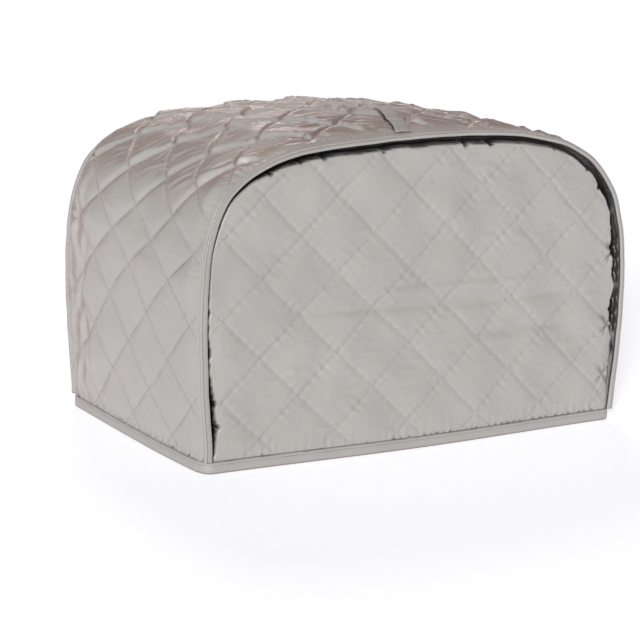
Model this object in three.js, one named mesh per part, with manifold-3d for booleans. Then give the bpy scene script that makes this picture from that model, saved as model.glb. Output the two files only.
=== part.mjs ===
// Microwave cover: a fitted hood of diamond-quilted cloth that stands on its bound hem.
// Millimetres. X runs along the front from left to right, Y from front to back, Z up.
import * as THREE from 'three';
import { mergeVertices } from 'three/addons/utils/BufferGeometryUtils.js';
import Module from 'manifold-3d';

const wasm = await Module();
wasm.setup();

// Clearance between pieces that touch
const GAP = 0.3;

// Hem: a band of folded tape that rings the bottom edge
const HEM_HALF_WIDTH = 247.5;
const HEM_HALF_DEPTH = 149;
const HEM_HEIGHT = 12;
const HEM_THICK = 6;
const HEM_CORNER_RADIUS = 12;
const HEM_CORNER_STEPS = 5;
const HEM_FRONT_STEPS = 14;
const HEM_SIDE_STEPS = 12;

// The sides of the hood bow outwards a little at the hem
const HEM_SIDE_BOW = 4;
const HEM_FRONT_BOW = 7;
const HEM_BACK_BOW = 3;
const BOW_TOP_Z = 190;

// Seam line of the front and back, x and z, from the left hem over the top to the right hem
const SEAM_FOOT_Z = HEM_HEIGHT + GAP;
const SEAM_POINTS = [
  { x: -246, z: SEAM_FOOT_Z },
  { x: -247, z: 32 },
  { x: -252, z: 90 },
  { x: -254, z: 165 },
  { x: -247, z: 227 },
  { x: -223, z: 273 },
  { x: -166, z: 302 },
  { x: -75, z: 313 },
  { x: 30, z: 317 },
  { x: 120, z: 312 },
  { x: 188, z: 292 },
  { x: 231, z: 249 },
  { x: 249, z: 188 },
  { x: 252, z: 112 },
  { x: 248, z: 40 },
  { x: 246, z: SEAM_FOOT_Z },
];

// Quilted cloth: two faces and thin wadding, held together by crossing lines of stitches
const CLOTH_THICK = 2.6;
const DIAMOND_WIDTH = 84;
const DIAMOND_HEIGHT = 77.5;
const DIAMOND_STEPS = 4;
const LATTICE_OVERLAP = 2;
const SMALLEST_CELL_SHARE = 0.3;
const PILLOW_HEIGHT_WRAP = 4.2;
const PILLOW_HEIGHT_PANEL = 3.0;
const PILLOW_HEIGHT_INSIDE = 0.8;
const PILLOW_ROUNDNESS = 0.6;
const FLAT_EDGE = 8;
const FADE = 22;

// Where a junction of the stitch lines falls on each cloth
const FRONT_JUNCTION = { x: -188.6, z: 262.9 };
const SIDE_JUNCTION = { arc: 168, y: -79 };

// Binding of the front and back seams
const BINDING_FACE = 8;
const BINDING_DEPTH = 5;
const BINDING_PROUD = 0.8;
const BINDING_FRONT_Y = 151;
const BINDING_STEPS = 46;
const TAPE_CHAMFER = 1.2;
const PANEL_FACE_Y = 147.5;

// The wrap swells between its two seams, most on the left of the top
const SWELL = [
  { arc: 0, rise: HEM_SIDE_BOW },
  { arc: 90, rise: 5 },
  { arc: 260, rise: 5 },
  { arc: 310, rise: 8 },
  { arc: 355, rise: 16 },
  { arc: 410, rise: 18 },
  { arc: 480, rise: 16 },
  { arc: 560, rise: 8 },
  { arc: 640, rise: 4 },
  { arc: 760, rise: 5 },
  { arc: 900, rise: 5 },
  { arc: 1020, rise: HEM_SIDE_BOW },
];
const SWELL_LEAN = 0.65;
const SWELL_ROUNDNESS = 1.6;

// Main soft creases of the wrap: middle, angle from the arch in degrees, length, half width and depth
const WRAP_CREASES = [
  { along: 292, across: -62, angle: -50, length: 150, width: 14, depth: 2.2 },
  { along: 322, across: 20, angle: -46, length: 190, width: 16, depth: 2.4 },
  { along: 400, across: -106, angle: -12, length: 190, width: 12, depth: 1.8 },
  { along: 432, across: -30, angle: -16, length: 250, width: 17, depth: 2.2 },
  { along: 470, across: 62, angle: -12, length: 230, width: 17, depth: 2.0 },
  { along: 585, across: -84, angle: -4, length: 200, width: 14, depth: 1.8 },
  { along: 630, across: 8, angle: 14, length: 220, width: 16, depth: 2.0 },
  { along: 118, across: 108, angle: 7, length: 170, width: 15, depth: 2.4 },
];

// The front keeps two faint level creases from its packing
const FRONT_CREASES = [
  { along: 151, across: 15, angle: 91, length: 430, width: 10, depth: 1.2 },
  { along: 108, across: 130, angle: 94, length: 190, width: 10, depth: 1.0 },
];

// Loop of flat tape on the top, its front end in the front seam
const STRAP_LEFT_X = -42;
const STRAP_SLANT = 15;
const STRAP_WIDTH = 17;
const STRAP_LENGTH = 64;
const STRAP_THICK = 1.6;
const STRAP_LIFT = 2.4;
const STRAP_STEPS = 12;

const SATIN = { color: 0xb4b1ad, roughness: 0.55, metalness: 0 };
const TAPE = { color: 0xb9b7b3, roughness: 0.65, metalness: 0 };

const seamCurve = new THREE.SplineCurve(SEAM_POINTS.map((p) => new THREE.Vector2(p.x, p.z)));
seamCurve.arcLengthDivisions = 50 * SEAM_POINTS.length;
const SEAM_LENGTH = seamCurve.getLength();
const WRAP_HALF_DEPTH = BINDING_FRONT_Y - BINDING_DEPTH - GAP;

// Distances below which points, heights and arc lengths count as the same
const SAME_POINT = 1e-4;
const SAME_HEIGHT = 1e-6;
const ARC_TOLERANCE = 0.03;

// Point of the seam line at an arc length, moved outwards along its normal
function seamPoint(arc, outwards) {
  const share = THREE.MathUtils.clamp(arc / SEAM_LENGTH, 0, 1);
  const point = seamCurve.getPointAt(share);
  const tangent = seamCurve.getTangentAt(share);
  if (share === 0) tangent.set(0, 1);
  if (share === 1) tangent.set(0, -1);
  return { x: point.x - tangent.y * outwards, z: point.y + tangent.x * outwards };
}

// Height of a quilted pillow, 0 on the stitch lines and 1 in the middle of a diamond
function pillow(along, across) {
  const p = along / DIAMOND_HEIGHT + across / DIAMOND_WIDTH;
  const q = along / DIAMOND_HEIGHT - across / DIAMOND_WIDTH;
  const dome = Math.abs(Math.sin(Math.PI * p) * Math.sin(Math.PI * q));
  return dome < SAME_HEIGHT ? 0 : dome ** PILLOW_ROUNDNESS;
}

// 0 on the flat edge of a piece, 1 once the pillows are full
function edgeFade(distance) {
  return THREE.MathUtils.smoothstep(distance, FLAT_EDGE, FLAT_EDGE + FADE);
}

// Grid values from low to high that fall on quarter diamonds, with the given extra values at each end
function gridValues(low, high, junction, step, edge) {
  const values = [low, low + edge];
  const first = Math.ceil((low + edge - junction) / step + SMALLEST_CELL_SHARE);
  const last = Math.floor((high - edge - junction) / step - SMALLEST_CELL_SHARE);
  for (let k = first; k <= last; k += 1) values.push(junction + k * step);
  values.push(high - edge, high);
  return values;
}

// Depth of a list of creases at a point of the cloth
function creaseDepth(creases, along, across) {
  let depth = 0;
  for (const crease of creases) {
    const angle = THREE.MathUtils.degToRad(crease.angle);
    const offAlong = along - crease.along;
    const offAcross = across - crease.across;
    const lengthwise = Math.abs(offAlong * Math.cos(angle) + offAcross * Math.sin(angle));
    const sideways = offAcross * Math.cos(angle) - offAlong * Math.sin(angle);
    const ending = 1 - THREE.MathUtils.smoothstep(lengthwise, crease.length / 4, crease.length / 2);
    depth += crease.depth * ending * Math.exp(-((sideways / crease.width) ** 2));
  }
  return depth;
}

// Closed sheet on a grid: outer(row, column) and inner(row, column) give its two faces
function sheetGeometry(rows, columns, parity, outer, inner) {
  const positions = [];
  const indices = [];
  const faces = [outer, inner];
  for (const face of faces) {
    for (const row of rows) {
      for (const column of columns) positions.push(...face(row, column));
    }
  }
  const count = rows.length * columns.length;
  const at = (side, i, j) => side * count + i * columns.length + j;
  const quad = (a, b, c, d, turned) => {
    if (turned) indices.push(a, b, d, b, c, d);
    else indices.push(a, b, c, a, c, d);
  };
  for (let i = 0; i + 1 < rows.length; i += 1) {
    for (let j = 0; j + 1 < columns.length; j += 1) {
      const turned = (i + j + parity) % 2 === 1;
      quad(at(0, i, j), at(0, i, j + 1), at(0, i + 1, j + 1), at(0, i + 1, j), turned);
      quad(at(1, i, j + 1), at(1, i, j), at(1, i + 1, j), at(1, i + 1, j + 1), turned);
    }
  }
  const lastRow = rows.length - 1;
  const lastColumn = columns.length - 1;
  for (let j = 0; j < lastColumn; j += 1) {
    quad(at(1, 0, j), at(1, 0, j + 1), at(0, 0, j + 1), at(0, 0, j), false);
    quad(at(0, lastRow, j), at(0, lastRow, j + 1), at(1, lastRow, j + 1), at(1, lastRow, j), false);
  }
  for (let i = 0; i < lastRow; i += 1) {
    quad(at(0, i, 0), at(0, i + 1, 0), at(1, i + 1, 0), at(1, i, 0), false);
    quad(
      at(1, i, lastColumn), at(1, i + 1, lastColumn), at(0, i + 1, lastColumn), at(0, i, lastColumn), false,
    );
  }
  return indexedGeometry(positions, indices);
}

function indexedGeometry(positions, indices) {
  const geometry = new THREE.BufferGeometry();
  geometry.setAttribute('position', new THREE.Float32BufferAttribute(positions, 3));
  geometry.setIndex(indices);
  return geometry;
}

// Solid through a row of sections, each a ring of points; a closed path has no end caps
function loftGeometry(sections, closedPath) {
  const sides = sections[0].length;
  const positions = sections.flat(2);
  const indices = [];
  const spans = closedPath ? sections.length : sections.length - 1;
  for (let i = 0; i < spans; i += 1) {
    const next = (i + 1) % sections.length;
    for (let k = 0; k < sides; k += 1) {
      const a = i * sides + k;
      const b = i * sides + ((k + 1) % sides);
      const c = next * sides + ((k + 1) % sides);
      const d = next * sides + k;
      indices.push(a, b, c, a, c, d);
    }
  }
  if (!closedPath) {
    const end = (sections.length - 1) * sides;
    for (let k = 1; k + 1 < sides; k += 1) {
      indices.push(0, k + 1, k);
      indices.push(end, end + k, end + k + 1);
    }
  }
  return indexedGeometry(positions, indices);
}

function mirroredInY(geometry) {
  geometry.scale(1, -1, 1);
  const corners = geometry.index.array;
  for (let i = 0; i < corners.length; i += 3) {
    const first = corners[i];
    corners[i] = corners[i + 1];
    corners[i + 1] = first;
  }
  return geometry;
}

function toManifold(geometry) {
  const bare = geometry.clone();
  bare.deleteAttribute('normal');
  bare.deleteAttribute('uv');
  const merged = mergeVertices(bare, SAME_POINT);
  const vertProperties = new Float32Array(merged.attributes.position.array);
  const triVerts = new Uint32Array(merged.index.array);
  return new wasm.Manifold(new wasm.Mesh({ numProp: 3, vertProperties, triVerts }));
}

function fromManifold(solid) {
  const mesh = solid.getMesh();
  return indexedGeometry(Array.from(mesh.vertProperties), Array.from(mesh.triVerts));
}

// Swell of the wrap at an arc length, read smoothly from the table
function swellAt(arc) {
  const next = SWELL.findIndex((row) => row.arc >= arc);
  if (next === 0) return SWELL[0].rise;
  if (next < 0) return SWELL[SWELL.length - 1].rise;
  const from = SWELL[next - 1];
  const to = SWELL[next];
  return THREE.MathUtils.lerp(from.rise, to.rise, THREE.MathUtils.smoothstep(arc, from.arc, to.arc));
}

// Share of the swell from front to back: a quick rise behind the front seam, then a long fall
function swellShare(y) {
  const share = THREE.MathUtils.clamp((y + WRAP_HALF_DEPTH) / (2 * WRAP_HALF_DEPTH), 0, 1);
  return 1 - Math.abs(2 * share ** SWELL_LEAN - 1) ** SWELL_ROUNDNESS;
}

function wrapEdgeFade(arc, y) {
  return edgeFade(Math.min(arc, SEAM_LENGTH - arc, y + WRAP_HALF_DEPTH, WRAP_HALF_DEPTH - y));
}

// How far the cloth stands out from the seam line, without its pillows
function wrapOffset(arc, y) {
  return swellAt(arc) * swellShare(y) - wrapEdgeFade(arc, y) * creaseDepth(WRAP_CREASES, arc, y);
}

function wrapPillow(arc, y) {
  return wrapEdgeFade(arc, y) * pillow(arc - SIDE_JUNCTION.arc, y - SIDE_JUNCTION.y);
}

// Left side, top and right side in one strip of quilted cloth
function wrapPanelGeometry() {
  const arcStep = DIAMOND_HEIGHT / DIAMOND_STEPS;
  const yStep = DIAMOND_WIDTH / DIAMOND_STEPS;
  const arcs = gridValues(0, SEAM_LENGTH, SIDE_JUNCTION.arc, arcStep, FLAT_EDGE);
  const ys = gridValues(-WRAP_HALF_DEPTH, WRAP_HALF_DEPTH, SIDE_JUNCTION.y, yStep, FLAT_EDGE);
  const face = (offset) => (y, arc) => {
    const point = seamPoint(arc, wrapOffset(arc, y) + offset(wrapPillow(arc, y)));
    return [point.x, y, point.z];
  };
  const outer = face((relief) => PILLOW_HEIGHT_WRAP * relief);
  const inner = face((relief) => -CLOTH_THICK - PILLOW_HEIGHT_INSIDE * relief);
  const parity = diagonalParity(arcs, ys, SIDE_JUNCTION.arc, SIDE_JUNCTION.y, arcStep, yStep);
  return sheetGeometry(ys, arcs, parity, outer, inner);
}

// Diagonals alternate from cell to cell; the parity lines them up with the stitch lines
function diagonalParity(rows, columns, rowJunction, columnJunction, rowStep, columnStep) {
  const rowIndex = Math.round((rows[2] - rowJunction) / rowStep) - 2;
  const columnIndex = Math.round((columns[2] - columnJunction) / columnStep) - 2;
  return Math.abs(rowIndex + columnIndex) % 2;
}

// Outline of a front or back cloth: the seam line drawn in by the binding's face
function panelOutline() {
  const inset = BINDING_PROUD - BINDING_FACE - GAP;
  const points = [];
  for (let i = 0; i <= BINDING_STEPS; i += 1) {
    const point = seamPoint((SEAM_LENGTH * i) / BINDING_STEPS, inset);
    points.push(new THREE.Vector2(point.x, point.z));
  }
  return points;
}

// Share of the hem's bow at a point of the front or back: full at the middle of the hem, none higher up
function bowShare(x, z) {
  const sideways = (1 + Math.cos((Math.PI * x) / HEM_HALF_WIDTH)) / 2;
  return sideways * (1 - THREE.MathUtils.smoothstep(z, SEAM_FOOT_Z, BOW_TOP_Z));
}

// Distance of a point of a front or back cloth from the nearest edge
function panelEdgeDistance(outline, x, z) {
  const point = new THREE.Vector2(x, z);
  const nearest = Math.min(...outline.map((corner) => corner.distanceTo(point)));
  return Math.min(nearest, z - SEAM_FOOT_Z);
}

// Quilted cloth of the front, cut to the arch; side is -1 for the front and 1 for the back
function panelGeometry(side) {
  const outline = panelOutline();
  const rowStep = DIAMOND_HEIGHT / DIAMOND_STEPS;
  const columnStep = DIAMOND_WIDTH / DIAMOND_STEPS;
  const bow = side < 0 ? HEM_FRONT_BOW : HEM_BACK_BOW;
  const creases = side < 0 ? FRONT_CREASES : [];
  const xs = outline.map((point) => point.x);
  const top = Math.max(...outline.map((point) => point.y));
  const rows = gridValues(SEAM_FOOT_Z, top + LATTICE_OVERLAP, FRONT_JUNCTION.z, rowStep, FLAT_EDGE);
  const columns = gridValues(
    Math.min(...xs) - LATTICE_OVERLAP, Math.max(...xs) + LATTICE_OVERLAP,
    FRONT_JUNCTION.x, columnStep, FLAT_EDGE,
  );
  const face = (offset) => (z, x) => {
    const fade = edgeFade(panelEdgeDistance(outline, x, z));
    const relief = fade * pillow(z - FRONT_JUNCTION.z, x - FRONT_JUNCTION.x);
    const level = bow * bowShare(x, z) - fade * creaseDepth(creases, z, x);
    return [x, -(PANEL_FACE_Y + level + offset(relief)), z];
  };
  const outer = face((height) => PILLOW_HEIGHT_PANEL * height);
  const inner = face((height) => -CLOTH_THICK - PILLOW_HEIGHT_INSIDE * height);
  const parity = diagonalParity(rows, columns, FRONT_JUNCTION.z, FRONT_JUNCTION.x, rowStep, columnStep);
  const slab = toManifold(sheetGeometry(rows, columns, parity, outer, inner));
  const shape = new THREE.Shape(outline);
  const arch = new THREE.ExtrudeGeometry(shape, { depth: PANEL_FACE_Y, bevelEnabled: false });
  arch.rotateX(Math.PI / 2);
  arch.translate(0, -PANEL_FACE_Y / 2, 0);
  const front = fromManifold(slab.intersect(toManifold(arch)));
  return side < 0 ? front : mirroredInY(front);
}

// Chamfered section of a tape, as pairs of coordinates from one corner to the opposite one
function tapeSection(width, depth) {
  const c = TAPE_CHAMFER;
  return [
    [c, 0], [width - c, 0], [width, c], [width, depth - c],
    [width - c, depth], [c, depth], [0, depth - c], [0, c],
  ];
}

// Folded tape that binds the front seam; side is -1 for the front and 1 for the back
function seamBindingGeometry(side) {
  const section = tapeSection(BINDING_FACE, BINDING_DEPTH);
  const sections = [];
  for (let i = 0; i <= BINDING_STEPS; i += 1) {
    const arc = (SEAM_LENGTH * i) / BINDING_STEPS;
    const ring = section.map(([inwards, back]) => {
      const point = seamPoint(arc, BINDING_PROUD - inwards);
      return [point.x, side * (BINDING_FRONT_Y - back), point.z];
    });
    sections.push(side < 0 ? ring : ring.reverse());
  }
  return loftGeometry(sections, false);
}

// Plan of the hem: points of its outer face with their outward normals, round the four corners
function hemStations() {
  const straightX = HEM_HALF_WIDTH - HEM_CORNER_RADIUS;
  const straightY = HEM_HALF_DEPTH - HEM_CORNER_RADIUS;
  const runs = [
    { cornerX: straightX, cornerY: -straightY, angle: -90, steps: HEM_SIDE_STEPS, length: 2 * straightY },
    { cornerX: straightX, cornerY: straightY, angle: 0, steps: HEM_FRONT_STEPS, length: 2 * straightX },
    { cornerX: -straightX, cornerY: straightY, angle: 90, steps: HEM_SIDE_STEPS, length: 2 * straightY },
    { cornerX: -straightX, cornerY: -straightY, angle: 180, steps: HEM_FRONT_STEPS, length: 2 * straightX },
  ];
  const stations = [];
  for (const run of runs) {
    for (let k = 0; k <= HEM_CORNER_STEPS; k += 1) {
      const angle = THREE.MathUtils.degToRad(run.angle + (90 * k) / HEM_CORNER_STEPS);
      const normal = [Math.cos(angle), Math.sin(angle)];
      const x = run.cornerX + normal[0] * HEM_CORNER_RADIUS;
      const y = run.cornerY + normal[1] * HEM_CORNER_RADIUS;
      stations.push({ x, y, normal });
    }
    const start = stations[stations.length - 1];
    for (let k = 1; k < run.steps; k += 1) {
      const along = (run.length * k) / run.steps;
      const x = start.x - start.normal[1] * along;
      const y = start.y + start.normal[0] * along;
      const bow = hemBow(x, y, start.normal);
      stations.push({ x: x + start.normal[0] * bow, y: y + start.normal[1] * bow, normal: start.normal });
    }
  }
  return stations;
}

function hemBow(x, y, normal) {
  if (normal[1] < -0.5) return HEM_FRONT_BOW * bowShare(x, SEAM_FOOT_Z);
  if (normal[1] > 0.5) return HEM_BACK_BOW * bowShare(x, SEAM_FOOT_Z);
  return HEM_SIDE_BOW * swellShare(y);
}

// Tape folded over the bottom edge, a closed ring that the hood stands on
function hemBindingGeometry() {
  const section = tapeSection(HEM_THICK, HEM_HEIGHT);
  const sections = hemStations().map((station) => section.map(([inwards, up]) => [
    station.x - station.normal[0] * inwards,
    station.y - station.normal[1] * inwards,
    up,
  ]));
  return loftGeometry(sections, true);
}

// Height of the top cloth's outer face where the strap lies, found by halving the stretch of seam above
function topHeight(x, y) {
  let low = SEAM_LENGTH / 3;
  let high = SEAM_LENGTH - low;
  while (high - low > ARC_TOLERANCE) {
    const middle = (low + high) / 2;
    if (seamPoint(middle, wrapOffset(middle, y)).x < x) low = middle;
    else high = middle;
  }
  return seamPoint(low, wrapOffset(low, y) + PILLOW_HEIGHT_WRAP * wrapPillow(low, y)).z;
}

// Short loop of flat tape, down at both ends and a little clear of the cloth between them
function strapGeometry() {
  const sections = [];
  for (let i = 0; i <= STRAP_STEPS; i += 1) {
    const share = i / STRAP_STEPS;
    const y = -WRAP_HALF_DEPTH + STRAP_LENGTH * share;
    const left = STRAP_LEFT_X + STRAP_SLANT * share;
    const right = left + STRAP_WIDTH;
    const ground = Math.max(topHeight(left, y), topHeight((left + right) / 2, y), topHeight(right, y));
    const bottom = ground + GAP + STRAP_LIFT * Math.sin(Math.PI * share);
    sections.push([
      [left, y, bottom],
      [left, y, bottom + STRAP_THICK],
      [right, y, bottom + STRAP_THICK],
      [right, y, bottom],
    ]);
  }
  return loftGeometry(sections, false);
}

function pieceMesh(name, geometry, finish) {
  const mesh = new THREE.Mesh(geometry, new THREE.MeshStandardMaterial(finish));
  mesh.name = name;
  mesh.geometry.computeVertexNormals();
  return mesh;
}

const hood = new THREE.Group();
hood.name = 'microwave_cover';
hood.add(pieceMesh('wrap_panel', wrapPanelGeometry(), SATIN));
hood.add(pieceMesh('front_panel', panelGeometry(-1), SATIN));
hood.add(pieceMesh('back_panel', panelGeometry(1), SATIN));
hood.add(pieceMesh('front_binding', seamBindingGeometry(-1), TAPE));
hood.add(pieceMesh('back_binding', seamBindingGeometry(1), TAPE));
hood.add(pieceMesh('hem_binding', hemBindingGeometry(), TAPE));
hood.add(pieceMesh('top_strap', strapGeometry(), TAPE));

// The origin is the middle of the hood's box, on the surface that it stands on
const box = new THREE.Box3().setFromObject(hood);
hood.position.set(-(box.min.x + box.max.x) / 2, -(box.min.y + box.max.y) / 2, -box.min.z);

export default hood;
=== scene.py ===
import math

import bpy
import numpy as np
from mathutils import Matrix, Vector, kdtree


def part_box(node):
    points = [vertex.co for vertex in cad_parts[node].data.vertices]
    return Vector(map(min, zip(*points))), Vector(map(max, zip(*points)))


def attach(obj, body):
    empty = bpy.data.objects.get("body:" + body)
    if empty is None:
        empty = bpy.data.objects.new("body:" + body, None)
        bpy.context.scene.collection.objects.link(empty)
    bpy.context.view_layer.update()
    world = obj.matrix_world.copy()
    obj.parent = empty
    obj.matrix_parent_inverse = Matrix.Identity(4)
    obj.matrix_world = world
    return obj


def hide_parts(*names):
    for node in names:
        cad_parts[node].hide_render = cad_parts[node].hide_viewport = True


# Looks of a diamond-quilted microwave cover. Sizes are in millimetres in the hood's own frame:
# X runs along the front, Y to the back, Z up. They become metres when a mesh is made.
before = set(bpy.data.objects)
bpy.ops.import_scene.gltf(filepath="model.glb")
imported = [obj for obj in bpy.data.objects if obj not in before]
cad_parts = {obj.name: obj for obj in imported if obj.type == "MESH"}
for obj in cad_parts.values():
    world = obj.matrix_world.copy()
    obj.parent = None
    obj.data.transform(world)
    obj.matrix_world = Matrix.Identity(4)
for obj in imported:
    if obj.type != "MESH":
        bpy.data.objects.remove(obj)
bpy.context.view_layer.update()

MM = 0.001
GAP = 0.3
FRONT, BACK = -1, 1

HEM_HALF_WIDTH = 247.5
HEM_HALF_DEPTH = 149.0
HEM_HEIGHT = 12.0
HEM_CORNER_RADIUS = 12.0
HEM_SIDE_BOW = 4.0
HEM_BOW = {FRONT: 7.0, BACK: 3.0}
BOW_TOP_Z = 190.0
SEAM_FOOT_Z = HEM_HEIGHT + GAP

# Seam line of the front and back: x, z. Arcs are lengths along it from its left foot, in which the
# left bend is near 270, the crown near 530 and the right bend near 740.
SEAM_POINTS = [
    (-246, SEAM_FOOT_Z), (-247, 32), (-252, 90), (-254, 165), (-247, 227), (-223, 273),
    (-166, 302), (-75, 313), (30, 317), (120, 312), (188, 292), (231, 249),
    (249, 188), (252, 112), (248, 40), (246, SEAM_FOOT_Z),
]

# How far the wrap swells out between its seams: arc, rise
SWELL = [
    (0, 4), (90, 5), (260, 5), (310, 8), (355, 16), (410, 18),
    (480, 16), (560, 8), (640, 4), (760, 5), (900, 5), (1020, 4),
]
SWELL_LEAN = 0.65
SWELL_ROUNDNESS = 1.6

CLOTH_THICK = 2.6
THINNEST_CLOTH = 1.2
DIAMOND_WIDTH = 84.0
DIAMOND_HEIGHT = 77.5
LINE_SPACING = 1 / math.hypot(1 / DIAMOND_WIDTH, 1 / DIAMOND_HEIGHT)
GROOVE_WIDTH = 1.5
TAUT_EDGE = 4.5
WRAP_HALF_DEPTH = 145.7
PANEL_FACE_Y = 147.5
PANEL_HALF_WIDTH = 246.0
PANEL_MIDDLE_Z = 150.0
WIDEST_Z = 165.0
BINDING_PROUD = 0.8
BINDING_FRONT_Y = 151.0

# One crossing of the stitch lines on the front, x and z, and one on the wrap, arc and y
FRONT_CROSSING = (-188.6, 262.9)
WRAP_CROSSING = (168.5, -88.0)

# How far the gathered cloth pulls the wrap's lines round the left shoulder, and towards the front seam
SHOULDER_PULL = 32.0
FRONT_PULL = 50.0

# Heights of the pillows, folds and gathers
SIDE_PILLOW = 2.8
TOP_PILLOW = 7.8
TOP_SINK = 1.2
SHOULDER_BULGE = 4.0
BROAD_FOLD = 2.3
NARROW_FOLD = 1.9
SIDE_GATHER = 1.5
WRAP_HEM_GATHER = 0.8
PANEL_HEM_GATHER = 0.5
TAUT_PILLOW = 0.8
PANEL_PILLOW = 2.6
PANEL_PILLOW_SHARE = 0.2
LINING_PILLOW = 0.8

STRAP_LEFT_X = -42.0
STRAP_SLANT = 15.0
STRAP_WIDTH = 17.0
STRAP_LENGTH = 64.0
STRAP_THICK = 1.12
STRAP_LIFT = 0.96

# Soft creases: middle along and across, angle in degrees, length, half width, depth
WRAP_CREASES = [
    (292, -62, -50, 150, 14, 2.2), (322, 20, -46, 190, 16, 2.4), (400, -106, -12, 190, 12, 1.8),
    (432, -30, -16, 250, 17, 2.2), (470, 62, -12, 230, 17, 2.0), (585, -84, -4, 200, 14, 1.8),
    (630, 8, 14, 220, 16, 2.0), (118, 108, 7, 170, 15, 2.4),
]
FRONT_CREASES = [(151, 15, 91, 430, 10, 1.2), (108, 130, 94, 190, 10, 1.0)]

# How steeply the fine wrinkles run over the wrap: arc, degrees from the line round the arch
WRINKLE_ANGLE = [
    (0, -62), (200, -62), (250, -58), (280, -45), (320, -25), (370, -12), (430, -8),
    (500, -10), (600, 0), (700, 10), (740, 40), (800, 58), (1020, 60),
]
SIDE_WRINKLE_ANGLE = 62
RIGHT_WRINKLE_ANGLE = -60
FRONT_WRINKLE_ANGLE = 84

# Width of the seam tape's face round the arch: arc, width
TAPE_WIDTH = [(0, 8), (150, 8), (215, 6.8), (290, 5.8), (350, 5.4), (740, 5.4), (940, 6.4), (992, 7.5)]

# Recess between the front cloth and its binding, round the arch: arc, width, depth
RECESS = [
    (0, 0.5, 1), (8, 2.5, 6), (30, 5, 12), (60, 4, 12), (80, 2.4, 9), (86, 1, 4), (94, 2, 7), (98, 0.8, 3),
    (104, 2.8, 9), (116, 2.6, 9), (122, 0.8, 3), (130, 1.9, 7), (135, 0.6, 2), (145, 1.6, 6), (150, 0.6, 2),
    (158, 1.4, 5), (164, 0.8, 3), (200, 0.8, 3),
    (215, 1.0, 5), (250, 1.8, 9), (290, 3.2, 12), (330, 5, 14), (370, 6, 14), (430, 6.5, 14),
    (500, 6.5, 14), (560, 5.5, 14), (620, 4.2, 13), (680, 4.0, 12), (740, 5.5, 14), (764, 6, 14),
    (775, 3, 10), (788, 6.5, 14), (846, 6, 14), (858, 2.6, 10), (870, 7, 14), (902, 6, 14),
    (912, 2, 9), (926, 3.2, 12), (950, 1.2, 6), (992, 0.5, 1),
]
RECESS_SHARE = {FRONT: 1.0, BACK: 0.12}

# Crossed puckers where the quilting is caught in the right end of the front seam: x, z, depth
CROSSED_PUCKERS = [(236, 183, 2.6), (235, 106, 2.6), (232, 52, 2.0)]
PUCKER_ANGLES = (40, 62, -44, -58)


def smooth(value, low, high):
    share = np.clip((value - low) / (high - low), 0, 1)
    return share * share * (3 - 2 * share)


def hill(value, middle, half_width):
    return np.exp(-((value - middle) / half_width) ** 2)


def column(table, place, number):
    """Value of one column of a table, read at places of its first column."""
    return np.interp(place, [row[0] for row in table], [row[number] for row in table])


def smooth_column(table, place):
    total = np.full(np.shape(place), float(table[0][1]))
    for (start, low), (end, high) in zip(table, table[1:]):
        total = total + (high - low) * smooth(place, start, end)
    return total


def sample_seam(steps=80):
    """Smooth curve through the seam's points: arc lengths, points and tangents."""
    points = np.array(SEAM_POINTS, float)
    found = []
    for i in range(len(points) - 1):
        before, start, end = points[max(i - 1, 0)], points[i], points[i + 1]
        after = points[min(i + 2, len(points) - 1)]
        t = np.linspace(0, 1, steps, endpoint=False)[:, None]
        found.append(0.5 * (
            2 * start + (end - before) * t
            + (2 * before - 5 * start + 4 * end - after) * t ** 2
            + (3 * start - before - 3 * end + after) * t ** 3
        ))
    curve = np.vstack(found + [points[-1:]])
    arcs = np.concatenate([[0], np.cumsum(np.linalg.norm(np.diff(curve, axis=0), axis=1))])
    tangents = np.gradient(curve, axis=0)
    tangents /= np.linalg.norm(tangents, axis=1)[:, None]
    return arcs, curve, tangents


SEAM_ARCS, SEAM_CURVE, SEAM_TANGENTS = sample_seam()
SEAM_LENGTH = SEAM_ARCS[-1]


def seam_at(arc, outwards):
    """x and z of the seam line at an arc length, moved outwards."""
    x, z = (np.interp(arc, SEAM_ARCS, SEAM_CURVE[:, k]) for k in (0, 1))
    along_x, along_z = (np.interp(arc, SEAM_ARCS, SEAM_TANGENTS[:, k]) for k in (0, 1))
    return x - along_z * outwards, z + along_x * outwards


def ripples(u, v, seed, wavelength, angle=0.0, spread=math.pi, count=14):
    """Smooth noise of about -1 to 1: plane waves whose directions keep near an angle."""
    rng = np.random.default_rng(seed)
    total = np.zeros(np.broadcast(u, v).shape)
    for _ in range(count):
        direction = angle + rng.uniform(-spread, spread) / 2
        rate = 2 * math.pi / (wavelength * rng.uniform(0.7, 1.5))
        phase = rng.uniform(0, 2 * math.pi)
        total += np.sin(rate * (u * math.cos(direction) + v * math.sin(direction)) + phase)
    return total / math.sqrt(count)


def crease_depth(creases, along, across):
    depth = np.zeros(np.broadcast(along, across).shape)
    for mid_along, mid_across, degrees, length, width, deep in creases:
        c, s = math.cos(math.radians(degrees)), math.sin(math.radians(degrees))
        off_along, off_across = along - mid_along, across - mid_across
        lengthwise = np.abs(off_along * c + off_across * s)
        sideways = off_across * c - off_along * s
        depth += deep * (1 - smooth(lengthwise, length / 4, length / 2)) * hill(sideways, 0, width)
    return depth


def make_wrinkles(seed, count, along, across, angle_at, length, width, height):
    """Short fine wrinkles as rows: middle, direction, half length, half width, bend and height."""
    rng = np.random.default_rng(seed)
    rows = []
    for _ in range(count):
        u, v = rng.uniform(*along), rng.uniform(*across)
        angle = math.radians(angle_at(u) + rng.normal(0, 9))
        bend = rng.normal(0, 0.0035)
        rows.append((
            u, v, math.cos(angle), math.sin(angle),
            rng.uniform(*length) / 2, rng.uniform(*width), bend, rng.uniform(*height),
        ))
    return rows


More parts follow.
